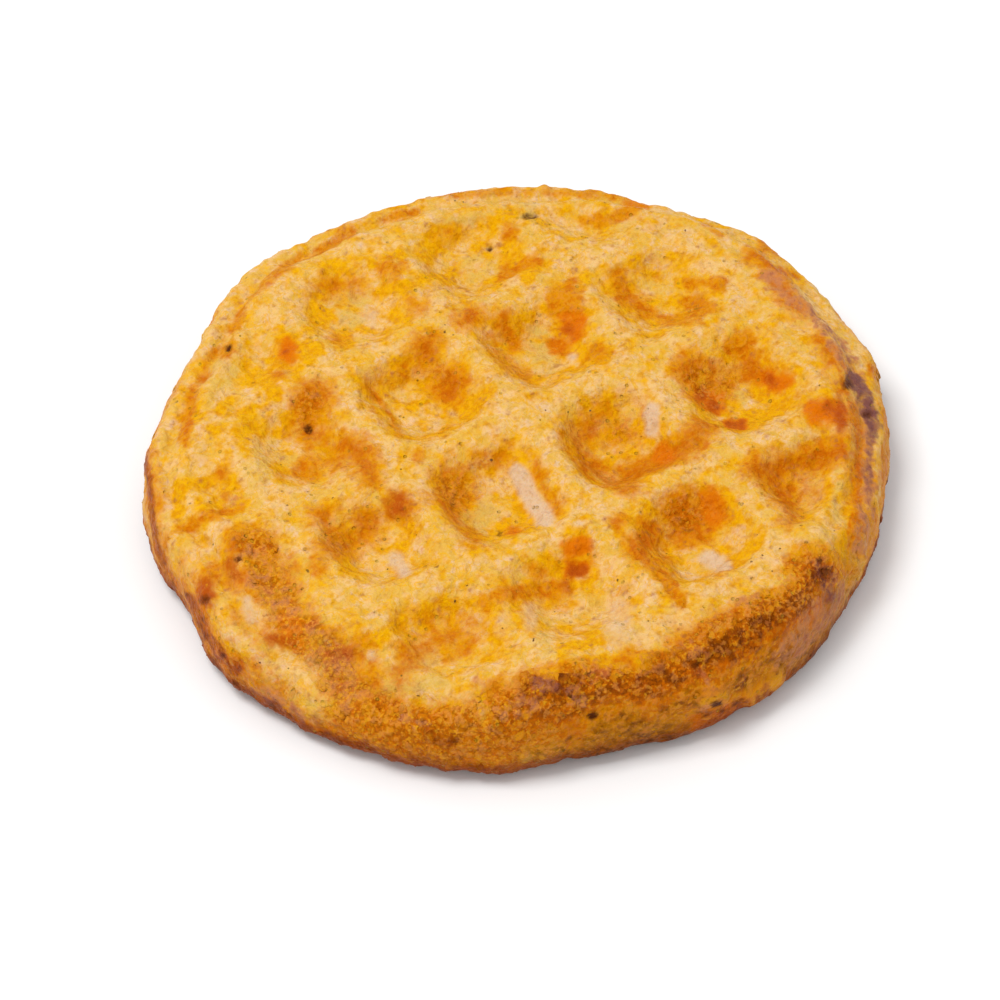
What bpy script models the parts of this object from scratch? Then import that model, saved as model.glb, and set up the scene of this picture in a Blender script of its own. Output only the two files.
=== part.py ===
"""A round potato waffle with a grid of pockets on both faces and a thick, uneven crust round its edge.

The plan is worked out in millimetres from the ridges' own grid, and the mesh is moved at the end so
that the origin is under the middle of the waffle, on the surface that it rests on.
"""
import bmesh
import bpy
import numpy as np

# Driving dimensions, in millimetres
MM = 0.001
RADIUS = 51.5
OVAL = 1.0
OVAL_AZIMUTH = 6.0
PLATEAU = 14.3
SEAM_HEIGHT = 3.6
BASE_INSET = 4.6

# Ridges of the upper face: where their middles run, along X and along Y
RIDGES_X = (-54.0, -35.5, -18.0, 1.8, 21.2, 41.6)
RIDGES_Y = (42.3, 23.0, 2.6, -19.0, -38.5)
RIDGE_WIDTH = 1.0
POCKET_DEPTH = 3.5
POCKET_SQUARENESS = 3.2
POCKET_WARP = 1.1
FLOOR_SHARE = 0.32
# How deep each pocket is, as a share of POCKET_DEPTH: rows from the back, columns from the left
POCKET_SHARES = (
    (0.00, 0.35, 0.65, 0.75, 0.45),
    (0.50, 0.70, 0.95, 0.90, 0.80),
    (0.45, 0.75, 1.00, 1.15, 0.90),
    (0.35, 0.75, 0.75, 1.10, 0.80),
)
# The front left of the grid leans back by this much
LEAN = 3.0

# The lower face has the regular grid of the iron
LOWER_PITCH = 20.0
LOWER_OFFSET = (1.8, 2.4)
LOWER_DEPTH = 3.4
LOWER_RIDGE_WIDTH = 3.4
LOWER_COUNT = 3
LOWER_REACH = 44.0

# Swells of the outline: azimuth and half width in degrees, then the height in millimetres
OUTLINE_SWELLS = (
    (6.0, 54.0, 1.0),
    (-14.0, 26.0, 0.9),
    (20.0, 26.0, 1.8),
    (42.0, 15.0, 0.5),
    (62.0, 12.0, 0.3),
    (109.0, 18.0, 1.6),
    (131.0, 20.0, -1.1),
    (158.0, 18.0, 1.4),
    (176.0, 12.0, -0.9),
    (-163.0, 14.0, 1.2),
    (-107.0, 20.0, -1.7),
    (-73.0, 13.0, 0.4),
    (-56.0, 12.0, -0.3),
)

# Zones of the rim: middle azimuth and half width in degrees, then the shoulder's width, how far the
# top has dropped at the rim, and between which distances from the edge it drops
RIM_ZONES = (
    ("front crust", -90.0, 42.0, 7.5, -0.6, 3.0, 9.0),
    ("front left skirt", -145.0, 19.0, 3.4, 5.6, 1.5, 13.0),
    ("left lip", 180.0, 20.0, 3.0, 2.6, 3.5, 8.5),
    ("back lip", 103.0, 58.0, 3.0, 1.2, 3.6, 7.5),
    ("right lip", -4.0, 48.0, 3.0, 3.0, 2.6, 6.4),
)
ZONE_SOFTNESS = 11.0
SHOULDER_POWER = 2.5
UNDERCUT_POWER = 2.2
GROOVE_DISTANCE = 4.6
GROOVE_WIDTH = 0.9
GROOVE_DEPTH = 0.55
POCKET_CLEAR_OF_EDGE = (5.0, 10.5)

# Lumps: azimuth in degrees, distance from the edge, size and height
LUMPS = (
    (-57.0, 5.5, 5.0, 1.1),
    (-76.0, 6.5, 4.5, 0.5),
    (-113.0, 6.0, 6.0, 0.5),
    (-139.0, 5.0, 4.0, 0.6),
)
WAVES = 7
WAVE_LENGTHS = (13.0, 30.0)
WAVE_HEIGHT = 0.9
EDGE_WAVE_HEIGHT = 0.8
OUTLINE_WAVE_HEIGHT = 0.3
SEED = 26

# Shares of the sphere's skin that become the upper face and the wall
UPPER_SHARE = 0.39
WALL_SHARE = 0.22
SPHERE_SUBDIVISIONS = 7
TRIANGLES = 11400
REST_SNAP = 0.04

CRUST_COLOUR = (0.78, 0.36, 0.055, 1.0)
CRUST_ROUGHNESS = 0.62


def fade(value, low, high):
    """0 below low, 1 above high and smooth between, where high may also be the smaller one."""
    t = np.clip((value - low) / (high - low), 0.0, 1.0)
    return t * t * (3.0 - 2.0 * t)


def turn_between(azimuth, other):
    """The angle from one azimuth to another in degrees, without its sign."""
    return np.abs((azimuth - other + 180.0) % 360.0 - 180.0)


def waves(x, y, seed):
    """Slow seeded unevenness, from -1 to 1."""
    rng = np.random.default_rng(seed)
    total = np.zeros_like(x)
    for _ in range(WAVES):
        heading = rng.uniform(0.0, 2.0 * np.pi)
        length = rng.uniform(*WAVE_LENGTHS)
        along = x * np.cos(heading) + y * np.sin(heading)
        total += np.sin(2.0 * np.pi * along / length + rng.uniform(0.0, 2.0 * np.pi))
    return total / WAVES


def outline(azimuth):
    """The widest radius at an azimuth in degrees."""
    radius = RADIUS + OVAL * np.cos(np.radians(2.0 * (azimuth - OVAL_AZIMUTH)))
    for middle, half_width, height in OUTLINE_SWELLS:
        radius += height * fade(turn_between(azimuth, middle), half_width, 0.0)
    east = RADIUS * np.cos(np.radians(azimuth))
    north = RADIUS * np.sin(np.radians(azimuth))
    return radius + OUTLINE_WAVE_HEIGHT * waves(east, north, SEED + 1)


def rim_values(azimuth):
    """The shoulder's width, the drop and the drop's two distances, blended between the rim's zones."""
    weights = [
        fade(turn_between(azimuth, middle), half_width + ZONE_SOFTNESS, half_width - ZONE_SOFTNESS) + 1e-3
        for _, middle, half_width, *_ in RIM_ZONES
    ]
    total = np.sum(weights, axis=0)
    values = np.array([zone[3:] for zone in RIM_ZONES])
    return [
        sum(weight * value for weight, value in zip(weights, column)) / total
        for column in values.T
    ]


def pocket(x, y, middle, half_size):
    """How far a point lies down one pocket: 0 on the ridges and 1 on its floor."""
    power = POCKET_SQUARENESS
    across = np.abs((x - middle[0]) / half_size[0]) ** power
    along = np.abs((y - middle[1]) / half_size[1]) ** power
    return fade((across + along) ** (1.0 / power), 1.0, FLOOR_SHARE)


def upper_pockets(x, y):
    """Depth of the upper face's pockets below the ridges."""
    y = y - LEAN * fade(-x, 6.0, 36.0) * fade(-y, 0.0, 28.0)
    x, y = x + POCKET_WARP * waves(x, y, SEED + 3), y + POCKET_WARP * waves(x, y, SEED + 4)
    depth = np.zeros_like(x)
    for row, shares in enumerate(POCKET_SHARES):
        back, front = RIDGES_Y[row], RIDGES_Y[row + 1]
        for column, share in enumerate(shares):
            left, right = RIDGES_X[column], RIDGES_X[column + 1]
            middle = ((left + right) / 2.0, (back + front) / 2.0)
            half_size = ((right - left - RIDGE_WIDTH) / 2.0, (back - front - RIDGE_WIDTH) / 2.0)
            depth += share * POCKET_DEPTH * pocket(x, y, middle, half_size)
    return depth


def lower_pockets(x, y):
    """Height of the lower face's pockets above the surface that the waffle rests on."""
    half = (LOWER_PITCH - LOWER_RIDGE_WIDTH) / 2.0
    height = np.zeros_like(x)
    for column in range(-LOWER_COUNT, LOWER_COUNT):
        for row in range(-LOWER_COUNT, LOWER_COUNT):
            middle = (
                LOWER_OFFSET[0] + (column + 0.5) * LOWER_PITCH,
                LOWER_OFFSET[1] + (row + 0.5) * LOWER_PITCH,
            )
            if np.hypot(*middle) < LOWER_REACH:
                height += LOWER_DEPTH * pocket(x, y, middle, (half, half))
    return height


def lumps(azimuth, inside):
    """Height of the crust's own lumps."""
    height = np.zeros_like(inside)
    for lump_azimuth, distance, size, lump_height in LUMPS:
        around = np.radians(turn_between(azimuth, lump_azimuth)) * RADIUS
        height += lump_height * fade(np.hypot(around, inside - distance), size, 0.0)
    return height


def upper_height(x, y, azimuth, inside):
    """Height of the upper face at a plan point, `inside` millimetres in from the outline."""
    _, drop, drop_start, drop_end = rim_values(azimuth)
    in_pocket = fade(inside, *POCKET_CLEAR_OF_EDGE)
    groove = GROOVE_DEPTH * np.exp(-(((inside - GROOVE_DISTANCE) / GROOVE_WIDTH) ** 2))
    height = PLATEAU - in_pocket * upper_pockets(x, y)
    height -= drop * (1.0 - fade(inside, drop_start, drop_end))
    height -= groove * fade(drop, 0.0, 1.0)
    height += lumps(azimuth, inside)
    return height + WAVE_HEIGHT * 0.5 * waves(x, y, SEED)


def place(direction):
    """Where each point of a unit sphere lies on the waffle."""
    azimuth = np.degrees(np.arctan2(direction[:, 1], direction[:, 0]))
    skin = (1.0 - direction[:, 2]) / 2.0
    edge = outline(azimuth)
    shoulder = rim_values(azimuth)[0]
    wall = np.clip((skin - UPPER_SHARE) / WALL_SHARE, 0.0, 1.0)

    # The wall turns a quarter from the shoulder out to the seam, then a quarter in to the base
    above = np.pi / 2.0 * np.clip(wall / 0.6, 0.0, 1.0)
    below = np.pi / 2.0 * np.clip((wall - 0.6) / 0.4, 0.0, 1.0)
    out = np.sin(above) ** (2.0 / SHOULDER_POWER)
    height_share = np.cos(above) ** (2.0 / SHOULDER_POWER)
    inside = shoulder * (1.0 - out) + BASE_INSET * (1.0 - np.cos(below) ** (2.0 / UNDERCUT_POWER))
    under_share = 1.0 - np.sin(below) ** (2.0 / UNDERCUT_POWER)

    upper_radius = (edge - shoulder) * np.sqrt(np.clip(skin / UPPER_SHARE, 0.0, 1.0))
    lower_share = np.clip((1.0 - skin) / (1.0 - UPPER_SHARE - WALL_SHARE), 0.0, 1.0)
    lower_radius = (edge - BASE_INSET) * np.sqrt(lower_share)
    upper = skin < UPPER_SHARE
    lower = skin > UPPER_SHARE + WALL_SHARE
    radius = np.where(upper, upper_radius, np.where(lower, lower_radius, edge - inside))

    x = radius * np.cos(np.radians(azimuth))
    y = radius * np.sin(np.radians(azimuth))
    inside = edge - radius
    seam = SEAM_HEIGHT + 0.5 * EDGE_WAVE_HEIGHT * waves(edge * direction[:, 0], edge * direction[:, 1], SEED + 2)
    top = upper_height(x, y, azimuth, inside)
    base = lower_pockets(x, y) * fade(inside, 5.5, 10.0)
    wall_height = np.where(below > 0.0, seam * under_share, seam + (top - seam) * height_share)
    z = np.where(upper, top, np.where(lower, base, wall_height))
    return np.column_stack([x, y, z])


def waffle_mesh():
    """The whole waffle as one closed mesh, in metres."""
    ball = bmesh.new()
    bmesh.ops.create_icosphere(ball, subdivisions=SPHERE_SUBDIVISIONS, radius=1.0)
    direction = np.array([vertex.co.normalized() for vertex in ball.verts])
    for vertex, point in zip(ball.verts, place(direction)):
        vertex.co = point * MM
    mesh = bpy.data.meshes.new("waffle")
    ball.to_mesh(mesh)
    ball.free()
    return mesh


def simplified(obj, triangles):
    """The object's mesh with fewer triangles, the most where it bends the most."""
    decimate = obj.modifiers.new("Decimate", "DECIMATE")
    decimate.ratio = triangles / len(obj.data.polygons)
    graph = bpy.context.evaluated_depsgraph_get()
    mesh = bpy.data.meshes.new_from_object(obj.evaluated_get(graph))
    obj.modifiers.remove(decimate)
    return mesh


def centre_and_seat(mesh):
    """Puts the origin under the middle of the box round the mesh and lays its lowest points flat."""
    points = np.empty(len(mesh.vertices) * 3)
    mesh.vertices.foreach_get("co", points)
    points = points.reshape(-1, 3)
    points[:, :2] -= (points[:, :2].max(axis=0) + points[:, :2].min(axis=0)) / 2.0
    points[:, 2] = np.where(points[:, 2] < REST_SNAP * MM, 0.0, points[:, 2])
    mesh.vertices.foreach_set("co", points.ravel())
    mesh.update()


def crust_material():
    material = bpy.data.materials.new("golden crust")
    material.use_nodes = True
    shader = material.node_tree.nodes["Principled BSDF"]
    shader.inputs["Base Color"].default_value = CRUST_COLOUR
    shader.inputs["Roughness"].default_value = CRUST_ROUGHNESS
    shader.inputs["Metallic"].default_value = 0.0
    material.diffuse_color = CRUST_COLOUR
    return material


def main():
    for obj in list(bpy.data.objects):
        bpy.data.objects.remove(obj, do_unlink=True)
    collection = bpy.data.collections.new("potato waffle")
    bpy.context.scene.collection.children.link(collection)
    waffle = bpy.data.objects.new("waffle", waffle_mesh())
    collection.objects.link(waffle)
    waffle.data = simplified(waffle, TRIANGLES)
    waffle.data.name = "waffle"
    centre_and_seat(waffle.data)
    waffle.data.materials.append(crust_material())
    waffle.data.shade_smooth()


main()
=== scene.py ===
"""The looks of a round potato waffle: its baked skin, browning, cheese, onion shreds and crumbs."""
import math

import bmesh
import bpy
import numpy as np
from mathutils import Matrix, Vector, noise
from mathutils.bvhtree import BVHTree


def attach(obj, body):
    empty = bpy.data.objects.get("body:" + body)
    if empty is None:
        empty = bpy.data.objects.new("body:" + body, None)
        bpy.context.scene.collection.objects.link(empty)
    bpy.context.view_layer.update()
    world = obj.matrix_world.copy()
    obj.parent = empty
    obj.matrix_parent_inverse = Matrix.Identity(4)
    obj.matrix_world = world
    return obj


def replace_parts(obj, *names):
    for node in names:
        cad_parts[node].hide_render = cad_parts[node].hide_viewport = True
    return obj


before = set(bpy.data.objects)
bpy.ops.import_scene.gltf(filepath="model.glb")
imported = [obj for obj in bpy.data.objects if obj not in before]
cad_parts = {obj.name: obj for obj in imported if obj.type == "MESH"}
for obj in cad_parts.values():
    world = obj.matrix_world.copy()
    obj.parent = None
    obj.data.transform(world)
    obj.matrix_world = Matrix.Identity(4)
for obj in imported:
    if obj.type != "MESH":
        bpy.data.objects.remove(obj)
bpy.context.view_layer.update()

# Form of the waffle, in millimetres: the same values and rules as its solid
MM = 0.001
RADIUS = 51.5
OVAL = 1.0
OVAL_AZIMUTH = 6.0
PLATEAU = 14.3
SEAM_HEIGHT = 3.6
BASE_INSET = 4.6
RIDGES_X = (-54.0, -35.5, -18.0, 1.8, 21.2, 41.6)
RIDGES_Y = (42.3, 23.0, 2.6, -19.0, -38.5)
RIDGE_WIDTH = 1.0
POCKET_DEPTH = 3.5
POCKET_SQUARENESS = 3.2
POCKET_WARP = 1.1
FLOOR_SHARE = 0.32
POCKET_SHARES = (
    (0.00, 0.35, 0.65, 0.75, 0.45),
    (0.50, 0.70, 0.95, 0.90, 0.80),
    (0.45, 0.75, 1.00, 1.15, 0.90),
    (0.35, 0.75, 0.75, 1.10, 0.80),
)
LEAN = 3.0
LOWER_PITCH = 20.0
LOWER_OFFSET = (1.8, 2.4)
LOWER_DEPTH = 3.4
LOWER_RIDGE_WIDTH = 3.4
LOWER_COUNT = 3
LOWER_REACH = 44.0
OUTLINE_SWELLS = (
    (6.0, 54.0, 1.0),
    (-14.0, 26.0, 0.9),
    (20.0, 26.0, 1.8),
    (42.0, 15.0, 0.5),
    (62.0, 12.0, 0.3),
    (109.0, 18.0, 1.6),
    (131.0, 20.0, -1.1),
    (158.0, 18.0, 1.4),
    (176.0, 12.0, -0.9),
    (-163.0, 14.0, 1.2),
    (-107.0, 20.0, -1.7),
    (-73.0, 13.0, 0.4),
    (-56.0, 12.0, -0.3),
)
RIM_ZONES = (
    ("front crust", -90.0, 42.0, 7.5, -0.6, 3.0, 9.0),
    ("front left skirt", -145.0, 19.0, 3.4, 5.6, 1.5, 13.0),
    ("left lip", 180.0, 20.0, 3.0, 2.6, 3.5, 8.5),
    ("back lip", 103.0, 58.0, 3.0, 1.2, 3.6, 7.5),
    ("right lip", -4.0, 48.0, 3.0, 3.0, 2.6, 6.4),
)
ZONE_SOFTNESS = 11.0
SHOULDER_POWER = 2.5
UNDERCUT_POWER = 2.2
GROOVE_DISTANCE = 4.6
GROOVE_WIDTH = 0.9
GROOVE_DEPTH = 0.55
POCKET_CLEAR_OF_EDGE = (5.0, 10.5)
LUMPS = (
    (-57.0, 5.5, 5.0, 1.1),
    (-76.0, 6.5, 4.5, 0.5),
    (-113.0, 6.0, 6.0, 0.5),
    (-139.0, 5.0, 4.0, 0.6),
)
WAVES = 7
WAVE_LENGTHS = (13.0, 30.0)
WAVE_HEIGHT = 0.9
EDGE_WAVE_HEIGHT = 0.8
OUTLINE_WAVE_HEIGHT = 0.3
SEED = 26
UPPER_SHARE = 0.39
WALL_SHARE = 0.22

# Small swells of the baked edge beyond its smooth form: azimuth, half width and height
EDGE_SWELLS = (
    (-10.0, 8.0, 1.2),
    (160.0, 11.0, -0.6),
    (-161.0, 12.0, -0.9),
)
EDGE_SWELL_REACH = 7.0

# How fine the skin's mesh is, in millimetres, with its rows' distance as a share of its points' spacing
UPPER_SPACING = 0.42
LOWER_SPACING = 0.85
ROW_TO_SPACING = 0.866
RIM_INSET = 5.0
SHORT_OF_WALL = 0.999
WALL_ROWS = 50

# The photograph's camera, from its own fit: angles in degrees, distance and aim in millimetres
PICTURE = 1000
CAMERA_AZIMUTH = -30.5
CAMERA_ELEVATION = 49.0
CAMERA_DISTANCE = 600.0
CAMERA_AIM = (-5.8, -4.9, 7.5)
FOCAL_PIXELS = 4293.0
SENSOR = 36.0
CLIP_START_M = 0.01

# The white studio, in metres: its floor, its even sky and one soft light
FLOOR_SIZE = 6.0
FLOOR_LEVEL = -0.0002
FLOOR_COLOUR = (0.9, 0.9, 0.9, 1.0)
FLOOR_ROUGHNESS = 0.9
SKY_COLOUR = (1.0, 1.0, 1.0, 1.0)
SKY_STRENGTH = 0.78
SOFTBOX_PLACE = (-0.32, 0.12, 0.9)
SOFTBOX_AIM = (0.0, 0.0, 0.01)
SOFTBOX_SIZE = 0.4
SOFTBOX_POWER = 5.0

# Marks of the baked skin. Each has a width in pixels and a strength, then the places that it runs
# through, in the photograph's pixels. A mark with one place is a round spot.
GOLD_MARKS = (
    (25, 0.7, (318, 275), (350, 262), (395, 255)), (30, 0.9, (325, 320)), (30, 0.9, (310, 350)),
    (40, 0.85, (275, 385)), (26, 0.8, (475, 215), (520, 215)), (30, 0.8, (195, 415)), (26, 0.7, (237, 440)),
    (30, 0.8, (195, 490)), (24, 0.6, (402, 465)), (24, 0.7, (525, 278)), (26, 0.7, (515, 605), (540, 630)),
    (40, 0.6, (340, 340)), (24, 0.6, (645, 370)), (30, 0.7, (280, 375)), (24, 0.5, (250, 372)),
    (10, 0.6, (440, 225), (480, 215), (530, 210), (580, 210)), (44, 0.8, (445, 235)), (24, 0.8, (512, 250)),
    (18, 0.9, (395, 290), (420, 284), (450, 280)), (30, 0.6, (400, 310)), (10, 0.4, (560, 383), (535, 388)),
    (32, 0.7, (600, 355)), (20, 0.35, (645, 250)), (18, 0.6, (750, 290)), (20, 0.4, (765, 320)),
    (30, 0.7, (200, 435), (235, 405)), (40, 0.8, (250, 420)), (24, 0.6, (280, 430)),
    (22, 0.8, (180, 490), (180, 520)), (30, 0.5, (265, 515)), (28, 0.8, (345, 570)), (36, 0.8, (470, 405)),
    (14, 0.5, (522, 410)), (14, 0.6, (515, 505), (522, 520)), (12, 0.6, (470, 555), (500, 545), (525, 540)),
    (16, 0.9, (745, 425), (770, 415), (785, 400)), (16, 0.5, (765, 505)), (16, 0.6, (810, 445)),
    (18, 0.8, (688, 490)), (18, 0.5, (730, 470)), (18, 0.4, (825, 525)),
    (24, 0.6, (350, 640), (385, 640), (405, 612)), (12, 0.6, (400, 705), (440, 710)),
    (14, 0.5, (380, 660), (400, 680)), (18, 1.0, (562, 652), (580, 646), (600, 638)),
    (15, 0.9, (605, 660), (645, 658)), (24, 0.6, (330, 600), (345, 620)), (44, 0.6, (225, 572)),
    (10, 0.5, (630, 580), (635, 600)), (20, 0.5, (505, 625), (512, 642)),
    (8, 0.6, (690, 612), (725, 604), (745, 592), (765, 585)), (60, 0.25, (740, 570)),
    (16, 0.45, (305, 600), (320, 585)), (30, 0.55, (430, 600), (450, 610)), (26, 0.45, (270, 655)),
    (18, 0.5, (640, 525), (622, 515)), (50, 0.5, (230, 460)),
)
AMBER_MARKS = (
    (8, 0.6, (340, 243), (300, 258), (270, 280), (247, 303), (232, 330)),
    (10, 0.6, (222, 342), (210, 362), (200, 380), (190, 400)),
    (12, 0.75, (190, 400), (188, 420), (185, 440)), (24, 0.6, (345, 235)), (28, 0.6, (390, 270)),
    (24, 0.5, (340, 340)), (20, 0.5, (280, 375)),
    (8, 0.55, (440, 195), (500, 192), (560, 193), (620, 198), (645, 205)), (9, 0.7, (385, 218), (415, 213)),
    (26, 0.4, (445, 235)), (20, 0.6, (510, 230)), (12, 0.8, (538, 260), (520, 268), (503, 277)),
    (12, 0.65, (585, 220), (610, 222), (640, 205)), (40, 0.8, (565, 300)), (20, 0.8, (560, 345)),
    (16, 0.6, (571, 282)), (16, 0.75, (500, 322), (515, 345)),
    (18, 0.5, (490, 340), (505, 365), (525, 375)), (24, 0.45, (600, 355)), (20, 0.6, (440, 370)),
    (24, 0.4, (400, 370)), (18, 0.75, (618, 275), (622, 298), (645, 311)),
    (12, 0.6, (645, 311), (675, 322), (700, 320)), (16, 0.75, (690, 305), (712, 308)),
    (14, 0.7, (690, 285), (720, 283)), (32, 0.8, (740, 345)), (12, 0.6, (760, 245), (775, 255)),
    (6, 0.6, (705, 225), (720, 235)), (16, 0.8, (817, 340)), (12, 0.8, (870, 370), (882, 385)),
    (18, 0.6, (220, 475)), (22, 0.6, (227, 350)), (26, 0.45, (417, 307)), (18, 0.5, (400, 670)),
    (24, 0.6, (318, 565)), (18, 0.5, (665, 560)), (12, 0.5, (225, 495)),
    (10, 0.8, (180, 530), (195, 522), (240, 508)), (16, 0.6, (310, 445)), (32, 0.65, (310, 470)),
    (8, 0.6, (375, 395), (390, 415), (398, 435)), (16, 0.6, (418, 457)),
    (14, 0.55, (535, 465), (545, 490), (558, 510)), (30, 0.6, (210, 575), (250, 580)),
    (22, 0.6, (540, 570)), (18, 0.75, (500, 595), (540, 590), (565, 585)), (22, 0.6, (620, 520)),
    (40, 0.5, (400, 505)), (16, 0.6, (715, 430)), (14, 0.6, (725, 515)),
    (14, 0.8, (655, 565), (670, 585), (680, 600)),
    (12, 0.95, (857, 470), (858, 490), (854, 524), (850, 543)), (9, 0.7, (795, 300), (805, 318)),
    (10, 0.55, (884, 385), (887, 440), (886, 480), (880, 520), (868, 560)), (14, 0.6, (850, 570)),
    (16, 0.35, (430, 618), (465, 620), (480, 625)), (18, 0.7, (487, 605)),
    (20, 0.5, (470, 640), (450, 655)), (40, 0.5, (290, 625)), (30, 0.55, (360, 650), (375, 700)),
    (20, 0.6, (500, 680), (490, 700)), (18, 0.5, (640, 655), (620, 662)),
    (20, 0.35, (200, 565), (195, 578)), (24, 0.4, (240, 620), (265, 650)),
    (16, 0.45, (290, 560), (300, 580)),
)
BROWN_MARKS = (
    (12, 0.8, (333, 286)), (5, 0.6, (345, 285), (358, 285)), (28, 0.7, (315, 395)),
    (18, 0.6, (300, 428), (322, 437)), (13, 0.6, (868, 356), (878, 374), (886, 400), (888, 425)),
    (7, 0.65, (828, 352), (842, 378), (856, 415), (858, 450), (857, 500)), (18, 0.75, (470, 318)),
    (14, 0.6, (503, 325), (512, 343)), (24, 0.8, (427, 350)), (26, 0.8, (450, 385)),
    (10, 0.55, (620, 290), (640, 309)), (16, 0.55, (697, 305)), (22, 0.8, (752, 367)),
    (26, 0.8, (690, 370)), (28, 0.65, (715, 385)), (18, 0.8, (700, 395)), (6, 0.8, (755, 255), (785, 275)),
    (6, 0.75, (770, 275), (795, 305), (803, 315)),
    (8, 0.65, (146, 440), (145, 470), (147, 505), (153, 540), (166, 570), (190, 600)),
    (30, 0.8, (310, 402)), (20, 0.5, (340, 462)), (16, 0.75, (350, 445), (362, 455), (370, 475)),
    (16, 0.7, (325, 515)), (26, 0.65, (367, 525)), (24, 0.6, (330, 547), (346, 543)),
    (24, 0.8, (240, 543), (265, 548)), (26, 0.55, (265, 560), (285, 590)),
    (34, 0.5, (262, 575), (280, 605), (300, 625), (322, 645), (338, 668), (348, 694)),
    (18, 0.6, (448, 388)), (38, 0.6, (455, 482), (452, 500)), (16, 0.5, (480, 465), (500, 458)),
    (20, 0.65, (400, 505)), (13, 0.6, (596, 422), (578, 442), (585, 462), (605, 481), (632, 488)),
    (36, 0.4, (620, 430)), (8, 0.5, (440, 500), (465, 530), (475, 540)),
    (18, 0.7, (630, 475), (660, 465), (690, 440), (700, 430)),
    (16, 0.8, (755, 470), (790, 465), (820, 458), (840, 450)), (18, 0.8, (775, 480), (785, 500)),
    (9, 0.6, (785, 500), (790, 522)), (24, 0.35, (810, 490)), (38, 0.85, (682, 515), (690, 524)),
    (20, 0.8, (650, 535), (640, 550)), (38, 0.9, (812, 571)), (30, 0.95, (824, 574)),
    (14, 0.6, (405, 655), (430, 646), (452, 636)), (18, 0.5, (396, 673), (410, 664)), (16, 0.4, (490, 688)),
    (7, 0.6, (500, 590), (540, 596), (560, 596)), (12, 0.75, (190, 598), (206, 636), (232, 672)),
    (12, 0.5, (232, 672), (268, 704), (310, 728), (342, 740)), (10, 0.7, (330, 727)),
    (30, 0.6, (360, 728), (400, 725), (440, 735), (480, 740)),
    (26, 0.65, (380, 705), (420, 722), (470, 722)), (28, 0.7, (500, 700), (530, 690), (560, 690)),
    (30, 0.8, (500, 725), (540, 712), (580, 705)), (32, 0.9, (565, 688), (600, 688), (640, 688)),
    (32, 0.95, (640, 690), (672, 678), (700, 665)), (38, 1.0, (694, 668), (722, 652), (750, 634)),
    (36, 0.95, (748, 630), (775, 617), (808, 602)), (16, 0.6, (660, 662), (690, 640), (735, 612)),
    (30, 0.35, (600, 706), (660, 704), (700, 694), (740, 672), (780, 640)),
    (16, 0.5, (480, 745), (440, 750)), (7, 0.7, (648, 560), (640, 545)),
    (40, 0.65, (350, 722), (400, 738), (450, 748), (500, 748)),
    (26, 0.5, (500, 745), (540, 735), (575, 730)),
    (18, 0.9, (868, 570), (850, 610), (825, 645), (790, 680), (750, 702), (700, 722)),
)
CHEESE_MARKS = (
    (20, 1.0, (288, 346), (287, 353)), (12, 0.6, (625, 205), (645, 205)), (28, 1.0, (573, 326)),
    (20, 0.6, (560, 345)), (22, 1.0, (770, 380), (782, 380)), (16, 0.8, (513, 532)), (28, 1.0, (578, 548)),
    (20, 1.0, (573, 570), (584, 567)), (24, 0.9, (665, 455)), (26, 0.95, (712, 402)),
    (28, 1.0, (818, 412), (834, 414)), (26, 0.8, (710, 500), (715, 520)), (12, 0.9, (728, 424), (742, 424)),
    (24, 0.75, (290, 625), (300, 642)), (16, 0.5, (240, 575)),
)
RED_MARKS = (
    (7, 0.7, (285, 352)), (9, 0.55, (605, 446)), (9, 0.5, (590, 452)), (12, 0.9, (568, 330)),
    (13, 0.9, (770, 380)), (16, 0.8, (830, 407)), (14, 0.6, (566, 586)), (14, 0.9, (572, 573), (584, 571)),
    (14, 0.8, (712, 404)), (8, 0.9, (730, 424), (740, 424)), (14, 1.0, (839, 402), (842, 425)),
    (9, 0.9, (708, 530)), (14, 0.8, (700, 395)), (28, 0.85, (397, 504)), (16, 0.9, (233, 566), (235, 572)),
    (19, 1.0, (206, 588), (206, 602)), (15, 0.9, (272, 640), (290, 642)), (15, 0.8, (312, 622)),
    (20, 0.8, (332, 652), (348, 652)), (12, 0.5, (268, 590), (276, 592)), (16, 0.4, (345, 685)),
    (12, 0.7, (222, 657), (238, 668)), (16, 0.5, (640, 688)), (16, 0.55, (600, 672), (622, 690)),
    (18, 0.5, (700, 672)), (14, 0.5, (818, 570)),
)
PINK_MARKS = (
    (34, 0.45, (250, 560), (275, 600), (300, 625), (322, 645), (338, 668), (348, 694)),
    (12, 0.6, (250, 690), (280, 706), (300, 718)), (12, 0.55, (400, 715), (430, 727)),
    (20, 0.6, (505, 715), (530, 702)), (16, 0.8, (536, 688), (550, 686)), (16, 0.7, (570, 690), (580, 700)),
    (12, 0.5, (585, 678), (605, 672)), (14, 0.6, (275, 588), (270, 600)), (14, 0.5, (228, 505), (236, 500)),
    (16, 0.6, (340, 650), (345, 690)), (12, 0.5, (740, 600), (760, 600)), (14, 0.5, (690, 645), (700, 650)),
    (20, 0.65, (768, 278), (792, 296), (817, 318), (836, 342), (850, 370)),
    (16, 0.7, (860, 380), (868, 410), (869, 450), (868, 490), (864, 520), (860, 548)),
    (14, 0.6, (850, 330), (866, 356), (876, 380)), (40, 0.62, (836, 596), (816, 625), (790, 652)),
    (9, 0.6, (702, 676), (708, 680)), (10, 0.5, (478, 680), (482, 690)), (12, 0.6, (707, 700), (702, 706)),
)
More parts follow.
